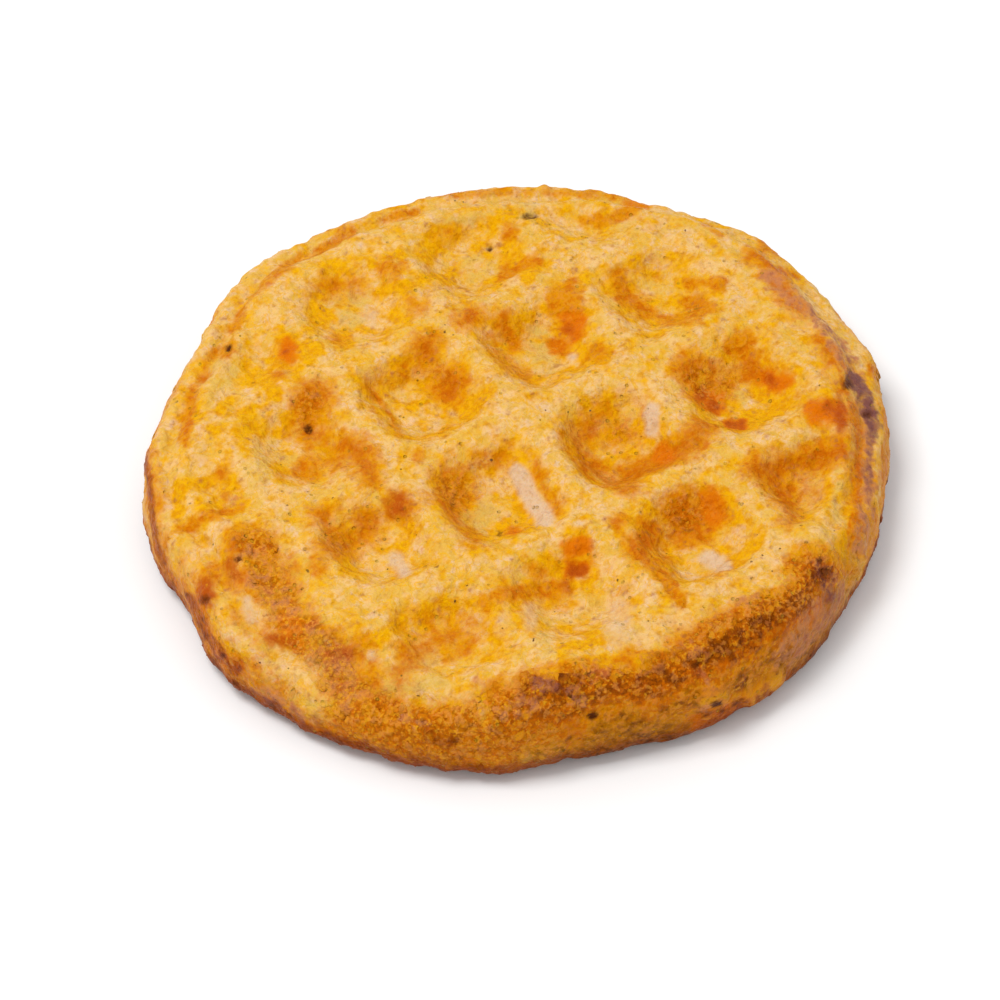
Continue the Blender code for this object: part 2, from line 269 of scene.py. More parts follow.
PURPLE_MARKS = (
    (13, 0.35, (806, 305), (820, 320), (835, 342), (846, 362)),
    (16, 1.0, (852, 378), (861, 390), (868, 403), (872, 418), (874, 432)),
    (11, 0.65, (870, 430), (870, 455), (868, 480)), (8, 0.35, (868, 480), (866, 510), (861, 536)),
    (15, 0.55, (822, 562), (828, 578), (832, 592)),
)
ONION_MARKS = (
    (22, 0.5, (370, 315)), (12, 0.6, (572, 358)), (14, 0.55, (202, 460)), (17, 0.7, (395, 558), (404, 572)),
    (19, 1.0, (519, 474), (531, 497), (545, 519)), (15, 0.9, (653, 410), (652, 430)),
    (17, 0.8, (706, 558), (724, 567)), (11, 0.6, (372, 657)), (30, 0.5, (620, 610), (618, 635)),
    (16, 0.5, (528, 608), (530, 625)), (12, 0.6, (246, 600), (250, 620)), (16, 0.4, (505, 615), (500, 632)),
)
CREAM_MARKS = (
    (14, 0.7, (330, 240), (290, 255), (255, 280), (235, 305), (215, 330), (200, 350), (188, 375)),
    (12, 0.6, (275, 328), (262, 345), (262, 360)), (12, 0.5, (300, 324)),
    (14, 0.7, (430, 208), (480, 203), (550, 200)), (14, 0.6, (630, 235), (600, 250)),
    (16, 0.5, (615, 325), (640, 325)), (24, 0.8, (595, 388)), (32, 0.9, (427, 538)), (28, 0.7, (302, 498)),
    (22, 0.6, (570, 230)), (22, 0.5, (630, 245)), (20, 0.6, (780, 360)), (26, 0.9, (512, 565)),
    (30, 0.85, (612, 568), (616, 600)), (28, 0.5, (750, 540)), (22, 0.8, (572, 402)), (26, 0.7, (430, 340)),
    (24, 0.6, (430, 590)), (24, 0.5, (475, 270)), (16, 0.9, (345, 400), (365, 425), (380, 455)),
    (12, 0.9, (380, 452)), (14, 0.7, (163, 430), (158, 470), (160, 505), (166, 540)),
    (12, 0.7, (275, 530), (290, 560), (305, 575)), (12, 0.6, (190, 548)),
    (12, 0.8, (550, 455), (575, 480), (600, 495)), (14, 0.8, (770, 430), (735, 440), (700, 455)),
    (30, 0.5, (360, 585), (420, 590)), (14, 0.6, (400, 690), (430, 690), (450, 688)),
    (16, 0.6, (285, 680), (305, 678)), (60, 0.35, (770, 555)), (24, 0.5, (640, 590), (650, 630)),
    (12, 0.7, (690, 625), (730, 612)), (20, 0.4, (235, 630), (262, 672)), (9, 0.7, (852, 558), (862, 561)),
)
GREEN_MARKS = (
    (50, 0.6, (350, 310)), (36, 0.5, (225, 375)), (44, 0.4, (475, 270)), (32, 0.6, (540, 340), (545, 360)),
    (32, 0.3, (660, 285)), (40, 0.6, (480, 515)), (24, 0.6, (735, 400)), (30, 0.4, (270, 450), (255, 480)),
    (12, 0.5, (838, 470), (838, 520)), (16, 0.6, (440, 225), (530, 210)), (18, 0.6, (390, 685), (440, 682)),
    (22, 0.6, (400, 668), (430, 660)), (20, 0.5, (540, 615), (545, 650)), (24, 0.4, (325, 680), (310, 700)),
    (24, 0.4, (255, 640), (270, 665)), (12, 0.6, (400, 706), (440, 708)), (30, 0.4, (740, 660), (720, 690)),
)
CHAR_MARKS = (
    (8, 0.9, (227, 348)), (6, 0.8, (490, 249)), (8, 0.7, (526, 216), (534, 216)), (8, 0.5, (445, 480)),
    (8, 0.45, (455, 505)), (7, 0.8, (308, 428)), (8, 0.8, (238, 560)), (12, 0.65, (205, 600)),
    (7, 0.7, (697, 665)), (7, 0.6, (735, 620)), (9, 0.7, (825, 570)), (7, 0.7, (820, 560)),
    (14, 0.7, (850, 383)), (9, 1.0, (592, 716)), (7, 0.7, (572, 695)), (9, 1.0, (715, 702)),
    (8, 0.6, (500, 533)), (9, 0.6, (867, 415)), (8, 0.6, (222, 657)), (7, 0.6, (610, 688)),
    (7, 0.6, (590, 676)), (6, 0.5, (710, 636)),
)
# Painted shade: places darkened along the front crust, along the foot of the wall and along the left edge
DIM_SHADE_MARKS = (
    (26, 0.6, (530, 690), (575, 685)), (16, 0.6, (432, 738), (452, 742)),
    (40, 0.36, (655, 674), (700, 656), (724, 648)), (34, 0.45, (750, 640), (782, 620)),
    (26, 0.5, (818, 580), (834, 598)), (30, 0.3, (838, 600), (818, 632), (792, 662)),
    (12, 0.6, (190, 598), (206, 636), (232, 672)),
    (10, 0.6, (146, 440), (145, 470), (147, 505), (153, 540), (166, 570)),
)
GRAIN_MARKS = (
    (40, 1.0, (255, 545), (280, 600), (320, 645), (345, 695)),
    (46, 1.0, (345, 700), (400, 722), (460, 725), (520, 700), (580, 692)),
    (40, 1.0, (580, 685), (640, 685), (695, 658), (745, 622), (800, 595)),
    (50, 0.9, (806, 568), (825, 572)), (50, 0.8, (360, 725), (420, 742), (480, 748), (540, 738)),
    (40, 0.6, (600, 705), (660, 705), (720, 690), (770, 655)), (40, 0.8, (455, 490)), (30, 0.8, (310, 405)),
    (34, 0.8, (700, 380), (720, 388)), (44, 0.8, (680, 512)), (24, 0.7, (338, 545)), (22, 0.6, (232, 503)),
    (30, 0.6, (440, 370)), (36, 0.6, (620, 430)),
)
CREASE_MARKS = (
    (3.0, 0.8, (258, 465), (264, 478), (268, 490)), (3.0, 0.6, (245, 490), (255, 497), (262, 505)),
    (2.5, 0.6, (340, 488), (350, 484), (360, 482)), (3.0, 0.7, (617, 545), (628, 552), (640, 560)),
    (3.0, 0.6, (690, 476), (700, 482)), (3.0, 0.7, (268, 532), (282, 560), (297, 580)),
    (3.0, 0.6, (425, 555), (432, 562), (440, 570)), (2.5, 0.7, (683, 606), (710, 601), (740, 588)),
    (2.5, 0.5, (600, 618), (566, 612), (560, 620)), (3.0, 0.8, (655, 570), (670, 592), (684, 606)),
    (2.5, 0.6, (508, 490), (520, 512), (538, 530)), (3.0, 0.6, (345, 410), (360, 436), (374, 462)),
    (2.5, 0.5, (560, 700), (590, 720), (620, 702)),
)
KNOB_MARKS = (
    (9, 0.9, (852, 564)), (8, 0.8, (860, 559)), (8, 0.8, (856, 572)),
    (13, 1.0, (750, 697), (760, 691), (772, 684), (778, 676)),
    (12, 0.9, (702, 700), (708, 696), (722, 694)), (5, 1.0, (273, 553)), (8, 0.7, (513, 187)),
    (7, 0.6, (545, 190)), (9, 0.5, (311, 651)), (8, 0.5, (466, 700), (472, 706)),
    (7, 0.5, (380, 676), (384, 668)),
)
SPECKS = (
    (320, 308), (641, 347), (685, 231), (287, 505), (333, 498), (376, 541), (491, 459), (545, 410),
    (540, 420), (590, 410), (467, 585), (834, 531), (763, 555), (418, 695), (260, 662), (780, 548),
    (795, 565), (772, 571), (455, 600), (555, 612), (534, 640), (503, 628), (445, 325), (445, 331),
    (618, 580), (648, 621), (402, 675), (308, 570), (752, 562), (388, 569), (620, 735), (563, 750),
)

# The kinds of mark, and which attribute of the mesh keeps each
MARKS = {
    "gold": GOLD_MARKS,
    "amber": AMBER_MARKS,
    "brown": BROWN_MARKS,
    "cheese": CHEESE_MARKS,
    "red": RED_MARKS,
    "pink": PINK_MARKS,
    "purple": PURPLE_MARKS,
    "onion": ONION_MARKS,
    "cream": CREAM_MARKS,
    "green": GREEN_MARKS,
    "char_and_contact_shadow": CHAR_MARKS,
    "dim_shade": DIM_SHADE_MARKS,
    "grain": GRAIN_MARKS,
    "crease": CREASE_MARKS,
    "knob": KNOB_MARKS,
}
ATTRIBUTES = {
    "browning": ("gold", "amber", "brown"),
    "additions": ("cheese", "red", "onion"),
    "tints": ("green", "cream", "pink"),
    "burnt_and_shade": ("purple", "char_and_contact_shadow", "dim_shade"),
    "texture": ("grain", "wall", "light"),
}

# How marks are laid on: pixels between samples, pixels a millimetre, edge softness and unevenness
MARK_STEP = 5.0
PIXELS_A_MM = 6.2
MARK_REACH = 1.6
SOFT_EDGE = 1.6
SOFT_SHARE = 0.45
SOFTNESS = {"onion": 0.5, "cheese": 0.6, "red": 0.7, "char_and_contact_shadow": 0.4, "crease": 0.3, "knob": 0.6}
EVENNESS = {"onion": 0.3, "knob": 0.6}
WOBBLE = 1.6
WOBBLE_SHARE = 0.22
AMBER_HALO = 9.0
GOLD_HALO = 16.0

# Seeded noise: how far each seed moves it, and what brings it to about -1 to 1
NOISE_OFFSET = (17.3, 5.1, 9.7)
NOISE_GAIN = 1.4

# Browning beyond the marks, and painted shade at the wall's foot: the dull wall's azimuth, half width and
# softness, the side that browns most, and the slopes, depths, heights and distances that they come and go
# between
DULL_WALL = (-88.0, 30.0)
DULL_SOFTNESS = 14.0
BROWNED_SIDE = (0.5, -1.2, 0.0)
SLOPE_STEP = 0.4
BROWNED_SLOPES = (0.15, 1.0)
FLOOR_DEPTHS = (1.3, 3.0)
RIDGE_DEPTHS = (0.2, 1.4)
UNDERCUT_REACH = (9.0, 5.0)
FOOT_BROWN_AND_SHADE_HEIGHTS = (6.4, 2.6)
FOOT_SHADE_HEIGHTS = (6.8, 1.8)
CONTACT_SHADOW_HEIGHTS = (1.8, 0.2)
LOWER_RIDGE_HEIGHTS = (1.2, 0.2)
LOWER_RIDGE_REACH = (5.0, 7.0)

# Lumps baked onto the skin: how many, their smallest and largest radius, and how far they are sunk
CRUST_CRUMBS = 1300
CRUST_CRUMB_RADII = (0.36, 0.80)
CRUST_GRIT = 3600
CRUST_GRIT_RADII = (0.26, 0.52)
BATTER_GRAINS = 2200
BATTER_GRAIN_RADII = (0.24, 0.44)
CRUMB_SHAPE = ((0.8, 0.8, 0.45), (1.7, 1.3, 0.75))
HERB_RADII = (0.14, 0.24)
CRUMB_SUNK = 0.72
CRUMB_UNEVEN = 0.2
CRUMB_SOFTNESS = 0.6

# Colours, as linear red, green and blue
PALE = (0.70, 0.405, 0.065)
CREAM = (0.76, 0.475, 0.180)
BLUSH = (0.74, 0.485, 0.285)
GREEN = (0.62, 0.395, 0.085)
GOLD = (0.76, 0.380, 0.001)
GOLD_DEEP = (0.68, 0.300, 0.001)
AMBER = (0.65, 0.240, 0.001)
AMBER_DEEP = (0.57, 0.158, 0.001)
BROWN = (0.50, 0.112, 0.001)
BROWN_DEEP = (0.21, 0.045, 0.001)
DARK = (0.07, 0.012, 0.002)
CHEESE = (0.64, 0.15, 0.001)
RED = (0.42, 0.07, 0.004)
PINK = (0.50, 0.19, 0.080)
PURPLE = (0.20, 0.072, 0.062)
ONION = (0.66, 0.47, 0.32)
WALL = (0.39, 0.135, 0.001)
WALL_DEEP = (0.16, 0.045, 0.001)
SHADE = (0.86, 0.66, 0.25)
CRUMB_TOP = (0.73, 0.325, 0.012)
CRUMB_PINK = (0.66, 0.235, 0.035)
CRUMB_GAP_SHADE = (0.26, 0.055, 0.001)
HERB = (0.07, 0.035, 0.004)
PORE_SHADE = (0.40, 0.22, 0.015)
# Cool colour of painted shade, multiplied into the dimmed places
DIM_SHADE = (0.48, 0.34, 0.50)


def fade(value, low, high):
    """0 below low, 1 above high and smooth between, where high may also be the smaller one."""
    t = np.clip((value - low) / (high - low), 0.0, 1.0)
    return t * t * (3.0 - 2.0 * t)


def turn_between(azimuth, other):
    """The angle from one azimuth to another in degrees, without its sign."""
    return np.abs((azimuth - other + 180.0) % 360.0 - 180.0)


def waves(x, y, seed):
    """Slow seeded unevenness, from -1 to 1."""
    rng = np.random.default_rng(seed)
    total = np.zeros_like(x)
    for _ in range(WAVES):
        heading = rng.uniform(0.0, 2.0 * np.pi)
        length = rng.uniform(*WAVE_LENGTHS)
        along = x * np.cos(heading) + y * np.sin(heading)
        total += np.sin(2.0 * np.pi * along / length + rng.uniform(0.0, 2.0 * np.pi))
    return total / WAVES


def outline(azimuth):
    """The widest radius at an azimuth in degrees."""
    radius = RADIUS + OVAL * np.cos(np.radians(2.0 * (azimuth - OVAL_AZIMUTH)))
    for middle, half_width, height in OUTLINE_SWELLS:
        radius += height * fade(turn_between(azimuth, middle), half_width, 0.0)
    east = RADIUS * np.cos(np.radians(azimuth))
    north = RADIUS * np.sin(np.radians(azimuth))
    return radius + OUTLINE_WAVE_HEIGHT * waves(east, north, SEED + 1)


def rim_values(azimuth):
    """The shoulder's width, the drop and the drop's two distances, blended between the rim's zones."""
    weights = [
        fade(turn_between(azimuth, middle), half_width + ZONE_SOFTNESS, half_width - ZONE_SOFTNESS) + 1e-3
        for _, middle, half_width, *_ in RIM_ZONES
    ]
    total = np.sum(weights, axis=0)
    values = np.array([zone[3:] for zone in RIM_ZONES])
    return [
        sum(weight * value for weight, value in zip(weights, column)) / total
        for column in values.T
    ]


def pocket(x, y, middle, half_size):
    """How far a point lies down one pocket: 0 on the ridges and 1 on its floor."""
    power = POCKET_SQUARENESS
    across = np.abs((x - middle[0]) / half_size[0]) ** power
    along = np.abs((y - middle[1]) / half_size[1]) ** power
    return fade((across + along) ** (1.0 / power), 1.0, FLOOR_SHARE)


def upper_pockets(x, y):
    """Depth of the upper face's pockets below the ridges."""
    y = y - LEAN * fade(-x, 6.0, 36.0) * fade(-y, 0.0, 28.0)
    x, y = x + POCKET_WARP * waves(x, y, SEED + 3), y + POCKET_WARP * waves(x, y, SEED + 4)
    depth = np.zeros_like(x)
    for row, shares in enumerate(POCKET_SHARES):
        back, front = RIDGES_Y[row], RIDGES_Y[row + 1]
        for column, share in enumerate(shares):
            left, right = RIDGES_X[column], RIDGES_X[column + 1]
            middle = ((left + right) / 2.0, (back + front) / 2.0)
            half_size = ((right - left - RIDGE_WIDTH) / 2.0, (back - front - RIDGE_WIDTH) / 2.0)
            depth += share * POCKET_DEPTH * pocket(x, y, middle, half_size)
    return depth


def lower_pockets(x, y):
    """Height of the lower face's pockets above the surface that the waffle rests on."""
    half = (LOWER_PITCH - LOWER_RIDGE_WIDTH) / 2.0
    height = np.zeros_like(x)
    for column in range(-LOWER_COUNT, LOWER_COUNT):
        for row in range(-LOWER_COUNT, LOWER_COUNT):
            middle = (
                LOWER_OFFSET[0] + (column + 0.5) * LOWER_PITCH,
                LOWER_OFFSET[1] + (row + 0.5) * LOWER_PITCH,
            )
            if np.hypot(*middle) < LOWER_REACH:
                height += LOWER_DEPTH * pocket(x, y, middle, (half, half))
    return height


def lumps(azimuth, inside):
    """Height of the crust's own lumps."""
    height = np.zeros_like(inside)
    for lump_azimuth, distance, size, lump_height in LUMPS:
        around = np.radians(turn_between(azimuth, lump_azimuth)) * RADIUS
        height += lump_height * fade(np.hypot(around, inside - distance), size, 0.0)
    return height


def upper_height(x, y, azimuth, inside):
    """Height of the upper face at a plan point, `inside` millimetres in from the outline."""
    _, drop, drop_start, drop_end = rim_values(azimuth)
    in_pocket = fade(inside, *POCKET_CLEAR_OF_EDGE)
    groove = GROOVE_DEPTH * np.exp(-(((inside - GROOVE_DISTANCE) / GROOVE_WIDTH) ** 2))
    height = PLATEAU - in_pocket * upper_pockets(x, y)
    height -= drop * (1.0 - fade(inside, drop_start, drop_end))
    height -= groove * fade(drop, 0.0, 1.0)
    height += lumps(azimuth, inside)
    return height + WAVE_HEIGHT * 0.5 * waves(x, y, SEED)


def place(azimuth, skin):
    """Where a point of the skin lies, from its azimuth and its share of the way from top to bottom."""
    edge = outline(azimuth)
    shoulder = rim_values(azimuth)[0]
    wall = np.clip((skin - UPPER_SHARE) / WALL_SHARE, 0.0, 1.0)
    above = np.pi / 2.0 * np.clip(wall / 0.6, 0.0, 1.0)
    below = np.pi / 2.0 * np.clip((wall - 0.6) / 0.4, 0.0, 1.0)
    out = np.sin(above) ** (2.0 / SHOULDER_POWER)
    height_share = np.cos(above) ** (2.0 / SHOULDER_POWER)
    inside = shoulder * (1.0 - out) + BASE_INSET * (1.0 - np.cos(below) ** (2.0 / UNDERCUT_POWER))
    under_share = 1.0 - np.sin(below) ** (2.0 / UNDERCUT_POWER)
    upper_radius = (edge - shoulder) * np.sqrt(np.clip(skin / UPPER_SHARE, 0.0, 1.0))
    lower_share = np.clip((1.0 - skin) / (1.0 - UPPER_SHARE - WALL_SHARE), 0.0, 1.0)
    lower_radius = (edge - BASE_INSET) * np.sqrt(lower_share)
    upper = skin < UPPER_SHARE
    lower = skin > UPPER_SHARE + WALL_SHARE
    radius = np.where(upper, upper_radius, np.where(lower, lower_radius, edge - inside))
    x = radius * np.cos(np.radians(azimuth))
    y = radius * np.sin(np.radians(azimuth))
    inside = edge - radius
    east, north = edge * np.cos(np.radians(azimuth)), edge * np.sin(np.radians(azimuth))
    seam = SEAM_HEIGHT + 0.5 * EDGE_WAVE_HEIGHT * waves(east, north, SEED + 2)
    top = upper_height(x, y, azimuth, inside)
    base = lower_pockets(x, y) * fade(inside, 5.5, 10.0)
    wall_height = np.where(below > 0.0, seam * under_share, seam + (top - seam) * height_share)
    z = np.where(upper, top, np.where(lower, base, wall_height))
    return np.column_stack([x, y, z])


def rings():
    """Each ring of the skin's mesh from top to bottom: its share of the way down and its point count."""
    top_rows = int((RADIUS - RIM_INSET) / UPPER_SPACING / ROW_TO_SPACING)
    low_rows = int((RADIUS - BASE_INSET) / LOWER_SPACING / ROW_TO_SPACING)
    around = 2.0 * np.pi * (RADIUS - RIM_INSET)
    made = [(0.0, 1)]
    for row in range(1, top_rows + 1):
        share = row / top_rows
        count = max(6, round(around * share / UPPER_SPACING))
        made.append((UPPER_SHARE * share**2 * SHORT_OF_WALL, count))
    rim_count = made[-1][1]
    for row in range(1, WALL_ROWS + 1):
        made.append((UPPER_SHARE + WALL_SHARE * row / WALL_ROWS, rim_count))
    for row in range(low_rows - 1, 0, -1):
        share = row / low_rows
        lower = (1.0 - UPPER_SHARE - WALL_SHARE) * share**2
        made.append((1.0 - lower, max(6, round(around * share / LOWER_SPACING))))
    made.append((1.0, 1))
    return made


def stitch(first, first_count, second, second_count):
    """Triangles between two rings of points, which may have different counts."""
    faces = []
    i = j = 0
    while i < first_count or j < second_count:
        if first_count == 1:
            take_first = False
        elif second_count == 1:
            take_first = True
        else:
            behind = (i + 1) * second_count <= (j + 1) * first_count
            take_first = j >= second_count or (i < first_count and behind)
        a = first + i % first_count
        b = second + j % second_count
        if take_first:
            faces.append((a, b, first + (i + 1) % first_count))
            i += 1
        else:
            faces.append((a, b, second + (j + 1) % second_count))
            j += 1
        if (first_count == 1 and j >= second_count) or (second_count == 1 and i >= first_count):
            break
    return faces


def skin_mesh():
    """The skin's azimuths, shares and triangles."""
    azimuths, shares, faces, starts = [], [], [], []
    ring_list = rings()
    for number, (share, count) in enumerate(ring_list):
        starts.append(len(azimuths))
        turn = (np.arange(count) + 0.5 * (number % 2)) * 360.0 / count
        azimuths.extend((turn + 180.0) % 360.0 - 180.0)
        shares.extend([share] * count)
    counted = [(start, count) for start, (_, count) in zip(starts, ring_list)]
    for ring, next_ring in zip(counted, counted[1:]):
        faces.extend(stitch(*ring, *next_ring))
    return np.array(azimuths), np.array(shares), faces


def camera_axes():
    """The photograph's directions to the right, up and back towards the camera."""
    azimuth, elevation = math.radians(CAMERA_AZIMUTH), math.radians(CAMERA_ELEVATION)
    back = np.array([
        math.sin(azimuth) * math.cos(elevation),
        -math.cos(azimuth) * math.cos(elevation),
        math.sin(elevation),
    ])
    right = np.array([math.cos(azimuth), math.sin(azimuth), 0.0])
    return right, np.cross(back, right), back


def to_pixels(points):
    """Where points in millimetres lie in the photograph."""
    right, up, back = camera_axes()
    seen = points - np.array(CAMERA_AIM)
    depth = CAMERA_DISTANCE - seen @ back
    return np.column_stack([
        PICTURE / 2.0 + FOCAL_PIXELS * (seen @ right) / depth,
        PICTURE / 2.0 - FOCAL_PIXELS * (seen @ up) / depth,
    ])


def on_surface(tree, places):
    """The points of the skin that are seen at places in the photograph."""
    right, up, back = camera_axes()
    eye = Vector(np.array(CAMERA_AIM) + back * CAMERA_DISTANCE)
    hits = []
    for x, y in places:
        towards = right * (x - PICTURE / 2.0) + up * (PICTURE / 2.0 - y) - back * FOCAL_PIXELS
        hit = tree.ray_cast(eye, Vector(towards))[0]
        if hit is not None:
            hits.append(hit)
    return np.array(hits).reshape(-1, 3)


def along(places):
    """Places at close steps along a mark's path."""
    path = [np.array(places[0], float)]
    for start, end in zip(places, places[1:]):
        start, end = np.array(start, float), np.array(end, float)
        steps = max(1, round(np.hypot(*(end - start)) / MARK_STEP))
        path.extend(start + (end - start) * step / steps for step in range(1, steps + 1))
    return np.array(path)


def nearest(points, samples):
    """Distance from each point to the nearest sample."""
    gap = np.full(len(points), np.inf)
    for sample in samples:
        gap = np.minimum(gap, np.linalg.norm(points - sample, axis=1))
    return gap


def paint(marks, points, pixels, tree, wobble, softness=SOFT_SHARE, halo=0.0, uneven=1.0):
    """How strongly each point is covered by a list of marks, or by a wider halo round each."""
    painted = np.zeros(len(points))
    for width, strength, *places in marks:
        width += 2.0 * halo
        path = along(places)
        hits = on_surface(tree, path)
        if not len(hits):
            continue
        half = width / 2.0
        reach = half / PIXELS_A_MM + MARK_REACH
        near = ((points > hits.min(axis=0) - reach) & (points < hits.max(axis=0) + reach)).all(axis=1)
        near = np.nonzero(near)[0]
        gap = nearest(pixels[near], path) + wobble[near] * (WOBBLE + WOBBLE_SHARE * half) * uneven
        soft = SOFT_EDGE + softness * half + 0.8 * halo
        cover = fade(gap, half + soft, half - soft)
        cover *= fade(nearest(points[near], hits), reach, 0.6 * reach)
        painted[near] = np.maximum(painted[near], strength * cover)
    return painted


def noise_field(points, size, seed):
    """Seeded noise from about -1 to 1, with lumps of about a size in millimetres."""
    spots = points / size + np.array(NOISE_OFFSET) * seed
    return NOISE_GAIN * np.array([noise.noise(Vector(spot)) for spot in spots.tolist()])


def normals_of(points, faces):
    """The unit normal at each point of a mesh."""
    corners = points[faces]
    across = np.cross(corners[:, 1] - corners[:, 0], corners[:, 2] - corners[:, 0])
    normals = np.zeros_like(points)
    for corner in range(3):
        np.add.at(normals, faces[:, corner], across)
    return normals / np.maximum(np.linalg.norm(normals, axis=1, keepdims=True), 1e-9)


def bake_values(points, normals, azimuths, shares, tree):
    """Each point's share of every kind of mark, by the kind's name."""
    wobble = noise_field(points, 1.9, 1) + 0.5 * noise_field(points, 0.8, 2)
    broad = noise_field(points, 7.0, 3)
    middling = noise_field(points, 2.6, 4)
    surface = (points, to_pixels(points), tree, wobble)
    values = {}
    for kind, marks in MARKS.items():
        softness = SOFTNESS.get(kind, SOFT_SHARE)
        values[kind] = paint(marks, *surface, softness, uneven=EVENNESS.get(kind, 1.0))

    def at_least(kind, amount):
        """Raises a kind of mark to an amount wherever it is less."""
        values[kind] = np.maximum(values[kind], amount)

    x, y, z = points.T
    inside = outline(azimuths) - np.hypot(x, y)
    upper = shares < UPPER_SHARE
    under = shares > UPPER_SHARE + WALL_SHARE
    wall = (~upper) & (~under)
    in_pocket = fade(inside, *POCKET_CLEAR_OF_EDGE) * upper
    depth = upper_pockets(x, y) * in_pocket
    step = SLOPE_STEP
    rise_x = upper_pockets(x + step, y) - upper_pockets(x - step, y)
    rise_y = upper_pockets(x, y + step) - upper_pockets(x, y - step)
    slope = fade(np.hypot(rise_x, rise_y) / (2.0 * step), *BROWNED_SLOPES) * in_pocket
    facing = np.clip(normals @ np.array(BROWNED_SIDE), 0.0, 1.0)
    floor = fade(depth, *FLOOR_DEPTHS)
    values["brown"] = values["brown"] * (1.0 - 0.3 * in_pocket)
    at_least("amber", 0.85 * paint(BROWN_MARKS, *surface, halo=AMBER_HALO))
    at_least("gold", 0.8 * paint(BROWN_MARKS + AMBER_MARKS + CHEESE_MARKS, *surface, halo=GOLD_HALO))
    at_least("gold", upper * (0.34 + 0.25 * slope + 0.25 * middling))
    at_least("amber", upper * slope * (0.15 + 0.3 * facing + 0.25 * broad))
    at_least("green", 0.35 * floor * fade(broad, -0.3, 0.6))
    at_least("cream", upper * (1.0 - fade(depth, *RIDGE_DEPTHS)) * (0.35 + 0.4 * middling))
    # The wall is darker and duller than the top. Towards its foot it browns more and is darkened with
    # painted shade, most where it turns under, and a painted contact shadow runs along its lowest edge
    undercut = under * fade(inside, *UNDERCUT_REACH)
    side = wall * fade(shares, UPPER_SHARE, UPPER_SHARE + 0.35 * WALL_SHARE) + undercut
    dull_azimuth, half_width = DULL_WALL
    turn = turn_between(azimuths, dull_azimuth)
    dull = fade(turn, half_width + DULL_SOFTNESS, half_width - DULL_SOFTNESS)
    values["wall"] = side * (0.15 + 0.85 * dull)
    at_least("amber", side * (0.3 + 0.45 * middling) * (1.0 - 0.95 * dull))
    at_least("brown", side * (0.18 + 0.4 * broad) * (1.0 - 0.9 * dull))
    at_least("brown", side * fade(z + 0.8 * middling, *FOOT_BROWN_AND_SHADE_HEIGHTS) * (0.8 - 0.5 * dull))
    low = fade(z + 0.8 * middling, *FOOT_SHADE_HEIGHTS)
    at_least("dim_shade", low * (wall + undercut * (0.65 + 0.35 * broad)))
    # Painted contact shadow: a dark line along the wall's lowest edge, carried with the char
    at_least("char_and_contact_shadow", wall * fade(z + 0.6 * middling, *CONTACT_SHADOW_HEIGHTS) * 0.5)
    # The lower face browns where it lay on the iron
    ridge = under * fade(z, *LOWER_RIDGE_HEIGHTS) * fade(inside, *LOWER_RIDGE_REACH)
    at_least("gold", under * 0.5)
    at_least("amber", under * (0.35 + 0.35 * broad) + 0.3 * ridge)
    at_least("brown", ridge * fade(middling + broad, -0.4, 0.8) * 0.75)
    at_least("grain", 0.4 * under + 0.35 * side)
    values["light"] = 0.8 * values["knob"]
    return {kind: np.clip(value, 0.0, 1.0) for kind, value in values.items()}


def relief(points, normals, values):
    """How far each point stands out of the smooth form: less on the sides, whose outline is calmer."""
    level = 0.45 + 0.55 * np.abs(normals[:, 2])
    height = 0.32 * noise_field(points, 4.6, 5)
    height += 0.26 * level * noise_field(points, 2.1, 6) * (1.0 - 0.5 * values["wall"])
    height += level * (0.15 + 0.16 * values["grain"]) * noise_field(points, 1.1, 7)
    height += (0.28 * values["onion"] + 0.12 * values["cream"] - 0.12 * values["cheese"]
               + 0.8 * values["knob"])
    height -= 0.55 * values["crease"] + 0.5 * values["char_and_contact_shadow"] * (1.0 - values["wall"])
    return height


def swell_edge(points, azimuths):
    """Moves the skin near its edge out or in."""
    inside = outline(azimuths) - np.hypot(points[:, 0], points[:, 1])
    push = sum(height * fade(turn_between(azimuths, middle), half_width, 0.0)
               for middle, half_width, height in EDGE_SWELLS)
    push = push * fade(inside, EDGE_SWELL_REACH, 0.0)
    points[:, 0] += push * np.cos(np.radians(azimuths))
    points[:, 1] += push * np.sin(np.radians(azimuths))


def make_mesh(name, points, faces):
    mesh = bpy.data.meshes.new(name)
    mesh.from_pydata((points * MM).tolist(), [], faces)
    mesh.validate()
    mesh.shade_smooth()
    return mesh


def store(mesh, values):
    """Keep the marks on the mesh, three kinds to an attribute."""
    for attribute, kinds in ATTRIBUTES.items():
        data = np.ones((len(mesh.vertices), 4))
        for channel, kind in enumerate(kinds):
            data[:, channel] = values[kind]
        layer = mesh.color_attributes.new(attribute, "FLOAT_COLOR", "POINT")
        layer.data.foreach_set("color", data.ravel())


